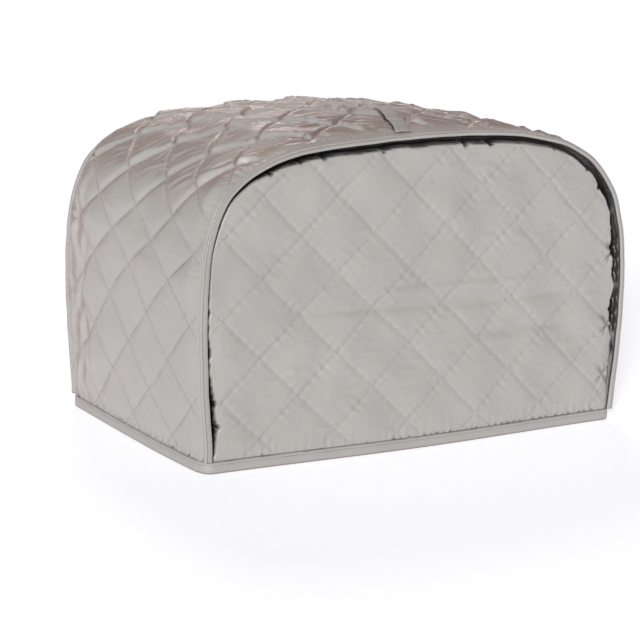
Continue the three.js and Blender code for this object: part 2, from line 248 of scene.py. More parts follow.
def wrinkle_height(wrinkles, u, v):
    total = np.zeros(np.broadcast(u, v).shape)
    for mid_u, mid_v, c, s, half_length, half_width, bend, height in wrinkles:
        off_u, off_v = u - mid_u, v - mid_v
        along = off_u * c + off_v * s
        side = (off_v * c - off_u * s - bend * along ** 2) / half_width
        near = (np.abs(along) < half_length) & (np.abs(side) < 3)
        lift = np.cos(along[near] / half_length * math.pi / 2) ** 2
        total[near] += height * lift * np.exp(-side[near] ** 2)
    return total


def lattice(along, across):
    """Phases of the two families of stitch lines; a line runs where a phase is whole."""
    return along / DIAMOND_HEIGHT + across / DIAMOND_WIDTH, along / DIAMOND_HEIGHT - across / DIAMOND_WIDTH


def line_distance(phase):
    return np.abs(phase - np.round(phase)) * LINE_SPACING


def nearest_line(p, q):
    return np.minimum(line_distance(p), line_distance(q))


def pillow_body(p, q):
    """0 on the stitch lines, 1 on the pillows between them."""
    return smooth(nearest_line(p, q), 0, 9)


def quilting(p, q, height):
    """Pillows between the stitch lines, drawn down in a narrow groove along each line."""
    dome = np.abs(np.sin(math.pi * p) * np.sin(math.pi * q))
    groove = hill(line_distance(p), 0, GROOVE_WIDTH) + hill(line_distance(q), 0, GROOVE_WIDTH)
    return height * (dome + 0.003) ** 0.6 - 0.12 * height * np.minimum(groove, 1.2)


def line_puckers(p, q):
    """Small gathers that cross each stitch line and fade beside it."""
    run_p, run_q = q * LINE_SPACING, p * LINE_SPACING
    across_p = np.exp(-line_distance(p) / 7) * ripples(run_p, 0.15 * run_q, 31, 8, 0, 0.4)
    across_q = np.exp(-line_distance(q) / 7) * ripples(run_q, 0.15 * run_p, 32, 8, 0, 0.4)
    return across_p + across_q


def wrap_lattice(arc, y):
    """Lines of the wrap's quilting; on the left shoulder and near the front seam the cloth is gathered."""
    near_front = np.clip(-y / 130, 0, 1.2) ** 1.4
    round_shoulder = SHOULDER_PULL * smooth(arc, 150, 280)
    to_front = FRONT_PULL * near_front * smooth(arc, 190, 280) * (1 - 0.8 * smooth(arc, 300, 470))
    sway = 1.6 * ripples(arc, y, 3, 160)
    return lattice(arc + round_shoulder - WRAP_CROSSING[0] + sway, y - to_front - WRAP_CROSSING[1])


def top_share(arc):
    return smooth(arc, 225, 330) * (1 - smooth(arc, 690, 780))


def wrap_wrinkle_angle(arc):
    """Wrinkles come forward as they climb the left shoulder and run nearly level over the top."""
    return column(WRINKLE_ANGLE, arc, 1)


def folds(arc, y, seed, pitch):
    """Long parallel wrinkles that follow the wrinkle angle, wander, and come and go; about -0.4 to 0.6."""
    arcs = np.linspace(0, SEAM_LENGTH, 400)
    slope = np.tan(np.radians(wrap_wrinkle_angle(arcs)))
    climb = np.concatenate([[0], np.cumsum((slope[1:] + slope[:-1]) / 2 * np.diff(arcs))])
    level = y - np.interp(arc, arcs, climb)
    wander = 0.4 * ripples(arc, y, seed, 110) + 0.1 * ripples(arc, y, seed + 1, 40)
    crest = (0.5 + 0.5 * np.cos(2 * math.pi * (level / pitch + wander))) ** 1.6
    strength = smooth(0.4 + 0.5 * ripples(arc, 1.6 * y, seed + 2, 60), 0, 1)
    return (crest - 0.4) * strength


TOP_WRINKLES = make_wrinkles(
    11, 320, (245, 745), (-140, 140), wrap_wrinkle_angle, (24, 80), (1.3, 2.6), (0.4, 1.1))
SIDE_WRINKLES = make_wrinkles(
    12, 150, (20, 240), (-140, 140), lambda arc: SIDE_WRINKLE_ANGLE, (16, 44), (1.6, 3.2), (0.15, 0.5))
RIGHT_WRINKLES = make_wrinkles(
    13, 150, (760, 970), (-140, 140), lambda arc: RIGHT_WRINKLE_ANGLE, (16, 44), (1.6, 3.2), (0.15, 0.5))


def swell_share(y):
    share = np.clip((y + WRAP_HALF_DEPTH) / (2 * WRAP_HALF_DEPTH), 0, 1)
    return 1 - np.abs(2 * share ** SWELL_LEAN - 1) ** SWELL_ROUNDNESS


def flat_quilting(p, q, height):
    """Flat-topped pillows with short steep edges, as where the cloth is pulled taut."""
    return height * np.sin(math.pi / 2 * np.clip(nearest_line(p, q) / TAUT_EDGE, 0, 1))


def shingle(phase):
    """Rises steeply behind a stitch line and sinks gently towards the next."""
    share = phase - np.floor(phase)
    rise = np.sin(math.pi / 2 * np.clip(share / 0.13, 0, 1))
    return rise * (1 - 0.55 * share) * (1 - smooth(share, 0.93, 1.0))


def slumped_quilting(p, q, height):
    """Pillows that slump forwards over the stitch lines, as where the cloth is gathered over the top."""
    return height * (shingle(p) + 0.002) ** 0.9 * (shingle(q) + 0.002) ** 0.7


def side_gathers(arc, y):
    """Crossing puckers of the left side along its back seam."""
    near_back = smooth(y, 76, 128) * (1 - smooth(arc, 200, 260))
    return near_back * (ripples(arc, y, 81, 20, 1.32, 0.2, 5) + ripples(arc, y, 82, 20, -1.32, 0.2, 5))


def from_seams(y):
    return np.minimum(y + WRAP_HALF_DEPTH, WRAP_HALF_DEPTH - y)


def from_hem(arc):
    return np.minimum(arc, SEAM_LENGTH - arc)


def wrap_edge(arc, y):
    return np.minimum(from_hem(arc), from_seams(y))


def wrap_pillows(arc, y, p, q):
    """Round pillows on the sides, and slumped ones over the left shoulder and the top."""
    slumped = smooth(arc, 205, 285) * (1 - smooth(arc, 700, 790))
    side_height = SIDE_PILLOW + 1.2 * smooth(y, 0, 120) * (1 - smooth(arc, 300, 400))
    top_height = TOP_PILLOW - 3.4 * smooth(arc, 480, 620)
    return (1 - slumped) * quilting(p, q, side_height) + slumped * slumped_quilting(p, q, top_height)


def wrap_wrinkles(arc, y):
    """Fine wrinkles, the folds over the top and the gathers of the left side."""
    top = top_share(arc)
    fine = wrinkle_height(TOP_WRINKLES, arc, y) - 0.5 * top
    fine = fine + top * (BROAD_FOLD * folds(arc, y, 71, 13) + NARROW_FOLD * folds(arc, y, 75, 6.5))
    fine = fine + wrinkle_height(SIDE_WRINKLES, arc, y) + wrinkle_height(RIGHT_WRINKLES, arc, y)
    return fine + SIDE_GATHER * side_gathers(arc, y)


def seam_gathers(arc, y):
    """Small gathers beside the front and back seams, strongest at the left bend."""
    beside = np.exp(-from_seams(y) / 11) * smooth(from_seams(y), 0, 3)
    return (0.35 + 0.5 * hill(arc, 268, 45)) * beside * ripples(arc, 0.3 * y, 21, 7, 0, 0.5)


def above_hem(above, reach):
    """Share of the gathers above the hem tape: none at its edge, most just above it."""
    return np.exp(-above / reach) * smooth(above, 0, 2)


def wrap_height(arc, y):
    """How far the outer face of the wrap stands out from the seam line."""
    p, q = wrap_lattice(arc, y)
    edge = wrap_edge(arc, y)
    top = top_share(arc)
    fade = smooth(edge, 2, 20)
    bulge = SHOULDER_BULGE * hill(arc, 270, 62) * smooth(y, -60, 60)
    height = smooth_column(SWELL, arc) * swell_share(y)
    height = height + fade * (wrap_pillows(arc, y, p, q) - TOP_SINK * top + bulge)
    height = height - fade * crease_depth(WRAP_CREASES, arc, y)
    height = height + smooth(edge, 1, 12) * (0.35 + 0.65 * pillow_body(p, q)) * wrap_wrinkles(arc, y)
    height = height + fade * (0.12 + 0.14 * top) * line_puckers(p, q)
    height = height + fade * 0.5 * ripples(arc, y, 22, 60) + seam_gathers(arc, y)
    hem_ripples = ripples(0.2 * arc, y, 25, 11, math.pi / 2, 0.4)
    return height + WRAP_HEM_GATHER * above_hem(from_hem(arc), 7) * hem_ripples


FRONT_WRINKLES = make_wrinkles(
    14, 360, (20, 310), (-235, 235), lambda z: FRONT_WRINKLE_ANGLE, (12, 44), (1.3, 3.2), (0.2, 0.8))


# Long level folds of the front: middle z and x, direction, half length, half width, bend, height
FRONT_FOLDS = [
    (167, -20, 0.03, 1.0, 200, 3.0, 0.0002, -1.1), (160, 30, 0.0, 1.0, 210, 6.0, 0.0003, 1.2),
    (146, -60, -0.02, 1.0, 150, 2.6, 0.0002, -0.9), (143, 120, 0.04, 1.0, 110, 2.8, -0.0003, -1.0),
    (112, 150, -0.05, 1.0, 90, 3.0, 0.0005, -1.0), (104, 120, 0.02, 1.0, 110, 5.0, 0.0002, 1.0),
    (214, 70, 0.06, 1.0, 80, 2.4, 0.0006, -0.8), (66, -40, 0.03, 1.0, 90, 2.6, -0.0004, -0.7),
]


def bow_share(x, z):
    sideways = (1 + np.cos(math.pi * x / HEM_HALF_WIDTH)) / 2
    return sideways * (1 - smooth(z, SEAM_FOOT_Z, BOW_TOP_Z))


def panel_lattice(x, z):
    sway = 1.2 * ripples(x, z, 5, 170)
    return lattice(z - FRONT_CROSSING[1] + sway, x - FRONT_CROSSING[0])


def panel_outline(count=1200):
    """Edge of the front and back cloths: points of the arch, just inside the binding."""
    arcs = np.linspace(0, SEAM_LENGTH, count)
    x, z = seam_at(arcs, BINDING_PROUD - GAP - column(TAPE_WIDTH, arcs, 1))
    return arcs, x, np.maximum(z, SEAM_FOOT_Z)


OUTLINE_ARCS, OUTLINE_X, OUTLINE_Z = panel_outline()


def nearest_on_outline(x, z):
    """Distance from the arch and the arc length there, for points of a panel."""
    tree = kdtree.KDTree(len(OUTLINE_ARCS))
    for i, point in enumerate(zip(OUTLINE_X, OUTLINE_Z)):
        tree.insert((point[0], point[1], 0), i)
    tree.balance()
    found = [tree.find((a, b, 0)) for a, b in zip(np.ravel(x), np.ravel(z))]
    distance = np.array([hit[2] for hit in found]).reshape(np.shape(x))
    arc = OUTLINE_ARCS[np.array([hit[1] for hit in found])].reshape(np.shape(x))
    return distance, arc


def crossed_puckers(x, z):
    depth = np.zeros(np.broadcast(x, z).shape)
    for mid_x, mid_z, deep in CROSSED_PUCKERS:
        for degrees in PUCKER_ANGLES:
            angle = math.radians(degrees)
            along = (x - mid_x) * math.cos(angle) + (z - mid_z) * math.sin(angle)
            side = (z - mid_z) * math.cos(angle) - (x - mid_x) * math.sin(angle)
            ending = 1 - smooth(np.abs(along), 5, 24)
            depth = np.maximum(depth, deep * ending * hill(side, 0, 1.2))
    return depth


def recess(distance, arc, side):
    """Depth of the recess beside the binding, with a ragged edge."""
    ragged = 1 + 0.18 * ripples(arc, 0 * arc, 41, 30)
    tatters = np.maximum(0, ripples(arc, 0 * arc, 42, 14) - 0.75)
    width = column(RECESS, arc, 1) * np.clip(ragged + 0.8 * tatters, 0.45, 1.7)
    floor = smooth(distance, 0, 1.4) * (1 - smooth(distance, width - 0.6, width + 2.6))
    return RECESS_SHARE[side] * column(RECESS, arc, 2) * floor


def panel_wrinkles(x, z, side, p, q):
    fine = (0.3 + 0.7 * pillow_body(p, q)) * wrinkle_height(FRONT_WRINKLES, z, x)
    fine = fine + 0.4 * line_puckers(p, q) + 0.7 * ripples(x, 1.6 * z, 23 + side, 60)
    if side == FRONT:
        fine = fine + wrinkle_height(FRONT_FOLDS, z, x) - 1.7 * crease_depth(FRONT_CREASES, z, x)
    return fine


def panel_height(x, z, side, distance, arc):
    """How far the outer face of the front or back cloth stands proud of its seam plane."""
    p, q = panel_lattice(x, z)
    above = z - SEAM_FOOT_Z
    fade = smooth(np.minimum(distance, above), 0.5, 16)
    pillows = PANEL_PILLOW_SHARE * quilting(p, q, PANEL_PILLOW) + flat_quilting(p, q, TAUT_PILLOW)
    height = HEM_BOW[side] * bow_share(x, z) + fade * (pillows + panel_wrinkles(x, z, side, p, q))
    height = height + PANEL_HEM_GATHER * above_hem(above, 8) * ripples(x, 0.2 * z, 24, 9, 0, 0.4)
    if side == FRONT:
        height = height - crossed_puckers(x, z)
    return height - recess(distance, arc, side)


# Meshes


def place(points):
    """Millimetres of the hood's own frame to metres of the row."""
    hem_low, hem_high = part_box("hem_binding")
    front_low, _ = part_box("front_binding")
    _, back_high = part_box("back_binding")
    shift = Vector(((hem_low.x + hem_high.x) / 2, (front_low.y + back_high.y) / 2, 0))
    return np.asarray(points, float) * MM + np.array(shift)


def new_object(name, points, faces):
    mesh = bpy.data.meshes.new(name)
    mesh.from_pydata(place(points).tolist(), [], faces)
    mesh.validate()
    mesh.shade_smooth()
    piece = bpy.data.objects.new(name, mesh)
    bpy.context.scene.collection.objects.link(piece)
    return piece


def set_values(piece, name, values):
    attribute = piece.data.attributes.new(name, "FLOAT", "POINT")
    attribute.data.foreach_set("value", np.ravel(values).astype(np.float32))


def set_uv(piece, uv):
    layer = piece.data.uv_layers.new(name="cloth")
    corners = np.zeros(len(piece.data.loops), np.int32)
    piece.data.loops.foreach_get("vertex_index", corners)
    layer.data.foreach_set("uv", (np.asarray(uv)[corners] * MM).astype(np.float32).ravel())


def grid_faces(start, rows, columns, flipped):
    index = start + np.arange(rows * columns).reshape(rows, columns)
    quads = np.stack([index[:-1, :-1], index[1:, :-1], index[1:, 1:], index[:-1, 1:]], -1).reshape(-1, 4)
    return (quads[:, ::-1] if flipped else quads).tolist()


def bridge(fine, coarse, ratio):
    """Closes the strip between an edge and one with fewer points, by a whole ratio."""
    faces = []
    half = ratio // 2
    for k in range(len(coarse) - 1):
        run = fine[ratio * k:ratio * (k + 1) + 1]
        for first, last in zip(run[:half], run[1:half + 1]):
            faces.append((first, last, coarse[k]))
        faces.append((run[half], coarse[k + 1], coarse[k]))
        for first, last in zip(run[half:-1], run[half + 1:]):
            faces.append((first, last, coarse[k + 1]))
    return faces


def closed_sheet(name, outer, inner, uv, values, ratio=2):
    """Cloth with two faces: a fine outer grid, and fewer rows and columns on the inside."""
    rows, columns = outer.shape[:2]
    inner = inner[::ratio, ::ratio]
    inner_rows, inner_columns = inner.shape[:2]
    count = rows * columns
    front = np.arange(count).reshape(rows, columns)
    back = count + np.arange(inner_rows * inner_columns).reshape(inner_rows, inner_columns)
    faces = grid_faces(0, rows, columns, False) + grid_faces(count, inner_rows, inner_columns, True)
    for edge in (np.s_[0], np.s_[-1, ::-1], np.s_[::-1, 0], np.s_[:, -1]):
        faces += bridge(front[edge].tolist(), back[edge].tolist(), ratio)
    piece = new_object(name, np.vstack([outer.reshape(-1, 3), inner.reshape(-1, 3)]), faces)
    set_uv(piece, np.vstack([uv.reshape(-1, 2), uv[::ratio, ::ratio].reshape(-1, 2)]))
    for key, field in values.items():
        set_values(piece, key, np.concatenate([np.ravel(field), np.ravel(field[::ratio, ::ratio])]))
    return piece


def wrap_points(arc, y, outwards):
    x, z = seam_at(arc, outwards)
    return np.stack([x, np.broadcast_to(y, x.shape), z], -1)


def hem_pucker_shade(along, above, seed):
    """Painted shade: small dark dashes where the cloth puckers into the hem tape."""
    return smooth(ripples(along, 0 * along, seed, 7), 0.35, 1.1) * (1 - smooth(above, 1.2, 3.2))


def strap_shadow(arc, y):
    """1 under the lifted left edge of the strap, 0 elsewhere."""
    x, _ = seam_at(arc, 0)
    share = (y + WRAP_HALF_DEPTH) / STRAP_LENGTH
    left = STRAP_LEFT_X + STRAP_SLANT * share
    inside = smooth(x, left - 0.4, left + 0.2) * (1 - smooth(x, left + 8, left + 12))
    return inside * smooth(share, 0.05, 0.15) * (1 - smooth(share, 0.6, 0.85))


# Painted shade: weights of the lit directions, outwards and forwards, and how much more of the painted shade
# the front of the top gets
LIT_OUTWARDS = 0.62
LIT_FORWARDS = 0.78
TOP_FRONT_SHADE = 0.22


def painted_shade_share(points, arc):
    """Painted shade: the satin is left grey where it faces forwards or outwards to either side, as lit faces
    do, and is painted mauve where it faces up or back, as shaded faces do.
    """
    normals = np.cross(np.gradient(points, axis=0), np.gradient(points, axis=1))
    normals /= np.linalg.norm(normals, axis=-1)[..., None]
    outwards = LIT_OUTWARDS * (2 * smooth(arc, 640, 860) - 1) * normals[..., 0]
    loss = TOP_FRONT_SHADE * smooth(-points[..., 1], 80, 130) * top_share(arc)
    return 1 - smooth(outwards - LIT_FORWARDS * normals[..., 1] - loss, 0.3, 0.6)


# How dark the painted shade in the hem puckers is
DASH_SHADE = 0.6


def wrap_grid():
    """Arc and y of the wrap's points, finer in y near the front seam."""
    arcs = np.linspace(0, SEAM_LENGTH, 545)
    ys = np.concatenate([np.arange(-WRAP_HALF_DEPTH, -90, 1.0), np.linspace(-89.5, WRAP_HALF_DEPTH, 105)])
    return np.meshgrid(arcs, ys, indexing="ij")


def make_wrap():
    arc, y = wrap_grid()
    height = wrap_height(arc, y)
    outer = wrap_points(arc, y, height)
    lining = smooth_column(SWELL, arc) * swell_share(y) - CLOTH_THICK
    lining = lining - LINING_PILLOW * smooth(wrap_edge(arc, y), 2, 20) * quilting(*wrap_lattice(arc, y), 1.0)
    inner = wrap_points(arc, y, np.minimum(lining, height - THINNEST_CLOTH))
    # The wrap's painted mauve shade follows its facing, with less of it just beside the front seam tape
    beside_tape = smooth(y + WRAP_HALF_DEPTH, 5, 14)
    painted_shade = painted_shade_share(outer, arc) * (0.35 + 0.65 * beside_tape)
    # Painted shade: mauve in the hollows of the gathers along the left side's back seam
    painted_shade = np.maximum(painted_shade, 0.7 * smooth(-side_gathers(arc, y), 0.0, 1.2))
    dashes = DASH_SHADE * hem_pucker_shade(y, from_hem(arc), 44)
    # Painted black: the shadow under the strap's lifted edge, and the shade in the puckers above the hem
    values = {"painted_shade": painted_shade, "painted_darkness": np.maximum(strap_shadow(arc, y), dashes)}
    return closed_sheet("quilted_wrap", outer, inner, np.stack([arc, y], -1), values, 4)


PANEL_STEP = 1.75
EDGE_STEP = 1.0
EDGE_COUNT = 14


def spaced(low, high):
    """Values from low to high, closer together near both ends, an odd number of them."""
    edge = EDGE_STEP * EDGE_COUNT
    middle = 2 * round((high - low - 2 * edge) / PANEL_STEP / 2)
    return np.concatenate([
        low + EDGE_STEP * np.arange(EDGE_COUNT),
        np.linspace(low + edge, high - edge, middle + 1),
        high - EDGE_STEP * np.arange(EDGE_COUNT)[::-1],
    ])


def outline_reach(angle):
    """Distance from the panel's middle to its outline, along an angle from straight down."""
    bottom_x = np.linspace(OUTLINE_X[-1], OUTLINE_X[0], 400)[1:-1]
    edge_x = np.concatenate([OUTLINE_X, bottom_x])
    edge_z = np.concatenate([OUTLINE_Z, np.full(len(bottom_x), SEAM_FOOT_Z)]) - PANEL_MIDDLE_Z
    edge_angle = np.arctan2(edge_x, -edge_z)
    order = np.argsort(edge_angle)
    return np.interp(angle, edge_angle[order], np.hypot(edge_x, edge_z)[order], period=2 * math.pi)


def panel_grid():
    """Grid of an upright panel: a rectangle whose edges are drawn in to the arch."""
    half = PANEL_HALF_WIDTH
    top = OUTLINE_Z.max() - PANEL_MIDDLE_Z
    bottom = PANEL_MIDDLE_Z - SEAM_FOOT_Z
    x, z = np.meshgrid(spaced(-half, half), spaced(-bottom, top), indexing="ij")
    reach = np.hypot(x, z)
    with np.errstate(divide="ignore"):
        box_reach = np.minimum(half * reach / np.abs(x), np.where(z > 0, top, bottom) * reach / np.abs(z))
    share = np.where(box_reach > 0, reach / box_reach, 0)
    scale = 1 + (outline_reach(np.arctan2(x, -z)) / box_reach - 1) * share ** 4
    return x * scale, z * scale + PANEL_MIDDLE_Z


def panel_painted_darkness(x, z, side, distance, arc):
    """Painted shade: how dark the cloth is painted in the recess, in the crossed puckers and where it enters
    the hem tape.
    """
    dark = [
        smooth(recess(distance, arc, side), 0.8, 4),
        DASH_SHADE * hem_pucker_shade(x, z - SEAM_FOOT_Z, 43),
    ]
    if side == FRONT:
        dark.append(smooth(column(RECESS, arc, 2), 8, 12) * (1 - smooth(distance, 1.5, 3)))
        dark.append(0.45 * smooth(crossed_puckers(x, z), 0.8, 2.2))
    return np.max(dark, axis=0)


def make_panel(name, side):
    x, z = panel_grid()
    if side == BACK:
        x, z = x[::-1], z[::-1]
    distance, arc = nearest_on_outline(x, z)
    height = panel_height(x, z, side, distance, arc)
    lining = HEM_BOW[side] * bow_share(x, z) - CLOTH_THICK - recess(distance, arc, side)
    lining = lining - LINING_PILLOW * smooth(distance, 1, 16) * quilting(*panel_lattice(x, z), 1.0)
    lining = np.minimum(lining, height - THINNEST_CLOTH)
    outer = np.stack([x, side * (PANEL_FACE_Y + height), z], -1)
    inner = np.stack([x, side * (PANEL_FACE_Y + lining), z], -1)
    values = {"painted_shade": 0 * x, "painted_darkness": panel_painted_darkness(x, z, side, distance, arc)}
    return closed_sheet(name, outer, inner, np.stack([z, x], -1), values)


TAPE_UV_WIDTH = 20.0


def tube(name, sections, closed, values):
    """Solid through rings of points; an open one gets flat ends. values: fields round one ring."""
    sections = np.asarray(sections, float)
    count, sides = sections.shape[:2]
    faces = []
    for i in range(count if closed else count - 1):
        j = (i + 1) % count
        for k in range(sides):
            m = (k + 1) % sides
            faces.append((i * sides + k, i * sides + m, j * sides + m, j * sides + k))
    if not closed:
        faces.append(tuple(range(sides))[::-1])
        faces.append(tuple((count - 1) * sides + k for k in range(sides)))
    piece = new_object(name, sections.reshape(-1, 3), faces)
    steps = np.linalg.norm(np.diff(sections[:, 0], axis=0), axis=1)
    along = np.concatenate([[0], np.cumsum(steps)])
    uv = np.stack(np.meshgrid(along, np.linspace(0, TAPE_UV_WIDTH, sides), indexing="ij"), -1)
    set_uv(piece, uv.reshape(-1, 2))
    for key, field in values.items():
        set_values(piece, key, np.tile(field, count))
    return piece


def band_section(path, thick):
    """Closed outline of a folded tape from its middle line."""
    path = np.asarray(path, float)
    along = np.gradient(path, axis=0)
    along /= np.linalg.norm(along, axis=1)[:, None]
    side = np.stack([-along[:, 1], along[:, 0]], -1) * thick / 2
    return np.vstack([path + side, (path - side)[::-1]])


FOLD_ROUNDING = 0.42


def rounded_path(corners, steps=5):
    """Corner points of a folded tape joined by short curves."""
    corners = np.asarray(corners, float)
    path = [corners[0]]
    for before, corner, after in zip(corners, corners[1:], corners[2:]):
        start = corner + (before - corner) * FOLD_ROUNDING
        end = corner + (after - corner) * FOLD_ROUNDING
        for t in np.linspace(0, 1, steps):
            path.append((1 - t) ** 2 * start + 2 * t * (1 - t) * corner + t * t * end)
    path.append(corners[-1])
    return np.array(path)


# Fold of the seam tape: distance inwards from its outer edge, distance behind its face
SEAM_TAPE = [
    (7.0, 4.6), (7.6, 0.6), (4.9, 0.25), (3.0, 0.35), (2.3, 1.3), (1.6, 0.4), (0.5, 0.9), (0.5, 4.5),
    (4.0, 4.5),
]
SEAM_STITCH = (2.3, 0.75)
TAPE_THICK = 0.8


def tape_scale(arc):
    """Width of the seam tape's face at an arc length, as a share of its width at the hem."""
    return column(TAPE_WIDTH, arc, 1) / TAPE_WIDTH[0][1]


def make_seam_binding(name, side):
    section = band_section(rounded_path(SEAM_TAPE), TAPE_THICK)
    arcs = np.linspace(0, SEAM_LENGTH, 401)
    sway = 0.22 * ripples(arcs, 0 * arcs, 51 + side, 34)
    face = 0.25 * ripples(arcs, 0 * arcs, 52 + side, 22)
    rings = []
    for arc, off, depth in zip(arcs, sway, face):
        x, z = seam_at(arc, BINDING_PROUD - section[:, 0] * tape_scale(arc) + off)
        y = side * (BINDING_FRONT_Y - section[:, 1] - np.maximum(depth, 0) * (1 - section[:, 1] / 5))
        ring = np.stack([x, y, np.maximum(z, SEAM_FOOT_Z)], -1)
        rings.append(ring if side == BACK else ring[::-1])
    # Painted shade: mauve along the tape's stitch groove, and painted black where the tape turns in behind
    # its face
    groove = hill(section[:, 0], SEAM_STITCH[0], 0.55) * (section[:, 1] < 2.2)
    inside = smooth(section[:, 1], 0.9, 2.0) * (section[:, 0] > 5)
    if side == FRONT:
        groove, inside = groove[::-1], inside[::-1]
    return tube(name, rings, False, {"painted_shade": groove, "painted_darkness": inside})


HEM_STEP = 2.5


def hem_line():
    """Plan of the hem's outer face with outward normals, anticlockwise from the front right corner."""
    straight_x = HEM_HALF_WIDTH - HEM_CORNER_RADIUS
    straight_y = HEM_HALF_DEPTH - HEM_CORNER_RADIUS
    runs = [
        (straight_x, -straight_y, -90, 2 * straight_y), (straight_x, straight_y, 0, 2 * straight_x),
        (-straight_x, straight_y, 90, 2 * straight_y), (-straight_x, -straight_y, 180, 2 * straight_x),
    ]
    stations = []
    for corner_x, corner_y, start_angle, length in runs:
        for degrees in np.linspace(0, 90, 10):
            angle = math.radians(start_angle + degrees)
            normal = np.array([math.cos(angle), math.sin(angle)])
            stations.append((np.array([corner_x, corner_y]) + normal * HEM_CORNER_RADIUS, normal))
        start, normal = stations[-1]
        count = round(length / HEM_STEP)
        for k in range(1, count):
            point = start + np.array([-normal[1], normal[0]]) * length * k / count
            stations.append((point + normal * hem_bow(point, normal), normal))
    return stations


def hem_bow(point, normal):
    if abs(normal[1]) > 0.5:
        return HEM_BOW[FRONT if normal[1] < 0 else BACK] * bow_share(point[0], SEAM_FOOT_Z)
    return HEM_SIDE_BOW * swell_share(point[1])


# Fold of the hem tape: distance inwards from its outer face, height
HEM_TAPE = [
    (3.4, 11.3), (0.6, 11.6), (0.45, 9.6), (0.9, 9.0), (0.4, 8.3), (0.35, 1.2), (1.6, 0.45), (4.4, 0.45),
    (5.6, 1.2), (5.6, 11.4), (4.2, 11.2),
]
HEM_STITCH = (0.35, 9.0)


def make_hem_binding():
    section = band_section(rounded_path(HEM_TAPE), TAPE_THICK)
    section[:, 1] = np.maximum(section[:, 1], 0)
    stations = hem_line()
    run = HEM_STEP * np.arange(len(stations))
    sway = 0.2 * ripples(run, 0 * run, 61, 40)
    rise = 0.25 * ripples(run, 0 * run, 62, 25)
    rings = []
    for (point, normal), off, lift in zip(stations, sway, rise):
        inwards = section[:, 0] - off * (section[:, 1] / HEM_HEIGHT)
        up = section[:, 1] - np.maximum(lift, 0) * smooth(section[:, 1], 6, 12)
        ring = np.stack([point[0] - normal[0] * inwards, point[1] - normal[1] * inwards, up], -1)
        rings.append(ring[::-1])
    # Painted shade on the underside of the hem tape: mauve, and a little painted black
    under = 1 - smooth(section[::-1, 1], 0.6, 2.6)
    return tube("hem_tape", rings, True, {"painted_shade": under, "painted_darkness": 0.3 * under})


# Stretch of the arch that the strap lies on
STRAP_ARCS = (380, 560)


def top_surface(x, y):
    """Height of the wrap's top under the strap, at x and y."""
    arcs = np.linspace(*STRAP_ARCS, 900)
    height = wrap_height(arcs, np.full(arcs.shape, float(y)))
    along, up = seam_at(arcs, height)
    return np.interp(x, along, up)


def strap_rings():
    """Rings of points along the strap: the underside from right to left, then the face."""
    rings = []
    steps = 32
    shares = np.linspace(0, 1, steps + 1)
    across = np.linspace(0, 1, 9)
    xs = STRAP_LEFT_X + STRAP_SLANT * shares[:, None] + STRAP_WIDTH * across
    ys = -WRAP_HALF_DEPTH + STRAP_LENGTH * shares
    ground = np.array([top_surface(row, y).max() for row, y in zip(xs, ys)])
    ground = np.array([ground[max(i - 1, 0):i + 2].max() for i in range(steps + 1)])
    for row, y, level, share in zip(xs, ys, ground, shares):
        lift = STRAP_LIFT * math.sin(math.pi * share) * (1 - 0.6 * across)
        bottom = level + 0.15 + lift + 0.35 * np.sin(math.pi * across)
        low = np.stack([row, np.full(row.shape, y), bottom], -1)
        rings.append(np.vstack([low[::-1], low + [0, 0, STRAP_THICK]]))
    return np.array(rings)


def make_strap():
    rings = strap_rings()
    # The whole strap gets a fifth of the painted mauve shade
    return tube("strap_tape", rings, False, {"painted_shade": np.full(rings.shape[1], 0.2)})


# Sewing thread: short raised stitches along the lines of sewing

STITCH_PITCH = 3.4
STITCH_LENGTH = 2.5
STITCH_RADIUS = 0.34
STITCH_SINK = 0.25
STITCH_RISE = 0.35
STITCH_SHARES = (0, 0.22, 0.78, 1)


def make_stitches(name, rows):
    """rows: arrays of points along each line of sewing, with the outward normals there."""
    points, faces = [], []
    for path, normals in rows:
        run = np.concatenate([[0], np.cumsum(np.linalg.norm(np.diff(path, axis=0), axis=1))])
        for start in np.arange(0.4 * STITCH_PITCH, run[-1] - STITCH_PITCH, STITCH_PITCH):
            ends = [
                np.array([np.interp(start + share * STITCH_LENGTH, run, path[:, k]) for k in range(3)])
                for share in STITCH_SHARES
            ]
            normal = np.array([np.interp(start, run, normals[:, k]) for k in range(3)])
            side = np.cross(ends[3] - ends[0], normal)
            side /= np.linalg.norm(side) + 1e-9
            first = len(points)
            points.append(ends[0] - normal * STITCH_SINK)
            for middle in ends[1:3]:
                for c, s in ((1, 0), (0, 1), (-1, 0), (0, -1)):
                    points.append(middle + STITCH_RADIUS * (side * c + normal * (s + STITCH_RISE)))
            points.append(ends[3] - normal * STITCH_SINK)
            for k in range(4):
                m = (k + 1) % 4
                faces.append((first, first + 1 + m, first + 1 + k))
                faces.append((first + 1 + k, first + 1 + m, first + 5 + m, first + 5 + k))
                faces.append((first + 9, first + 5 + k, first + 5 + m))
    return new_object(name, points, faces)


def lattice_lines(along_range, across_range, phase_at):
    """Points of each stitch line of both families, found along the first coordinate."""
    along = np.arange(*along_range, 1.2)
    across = np.arange(*across_range, 0.5)
    lines = []
    for phases in phase_at(*np.meshgrid(along, across, indexing="ij")):
        way = 1 if phases[:, -1].mean() > phases[:, 0].mean() else -1
        rows = phases[:, ::way]
        for number in range(math.ceil(phases.min()), math.floor(phases.max()) + 1):
            found = [
                (start, np.interp(number, row, across[::way]))
                for start, row in zip(along, rows) if row[0] < number < row[-1]
            ]
            if len(found) > 4:
                lines.append(np.array(found))
    return lines


# Room between the stitch lines' ends and the edges of the wrap, and height of a line over the cloth
STITCH_MARGIN = 2.5
STITCH_ABOVE = 0.05


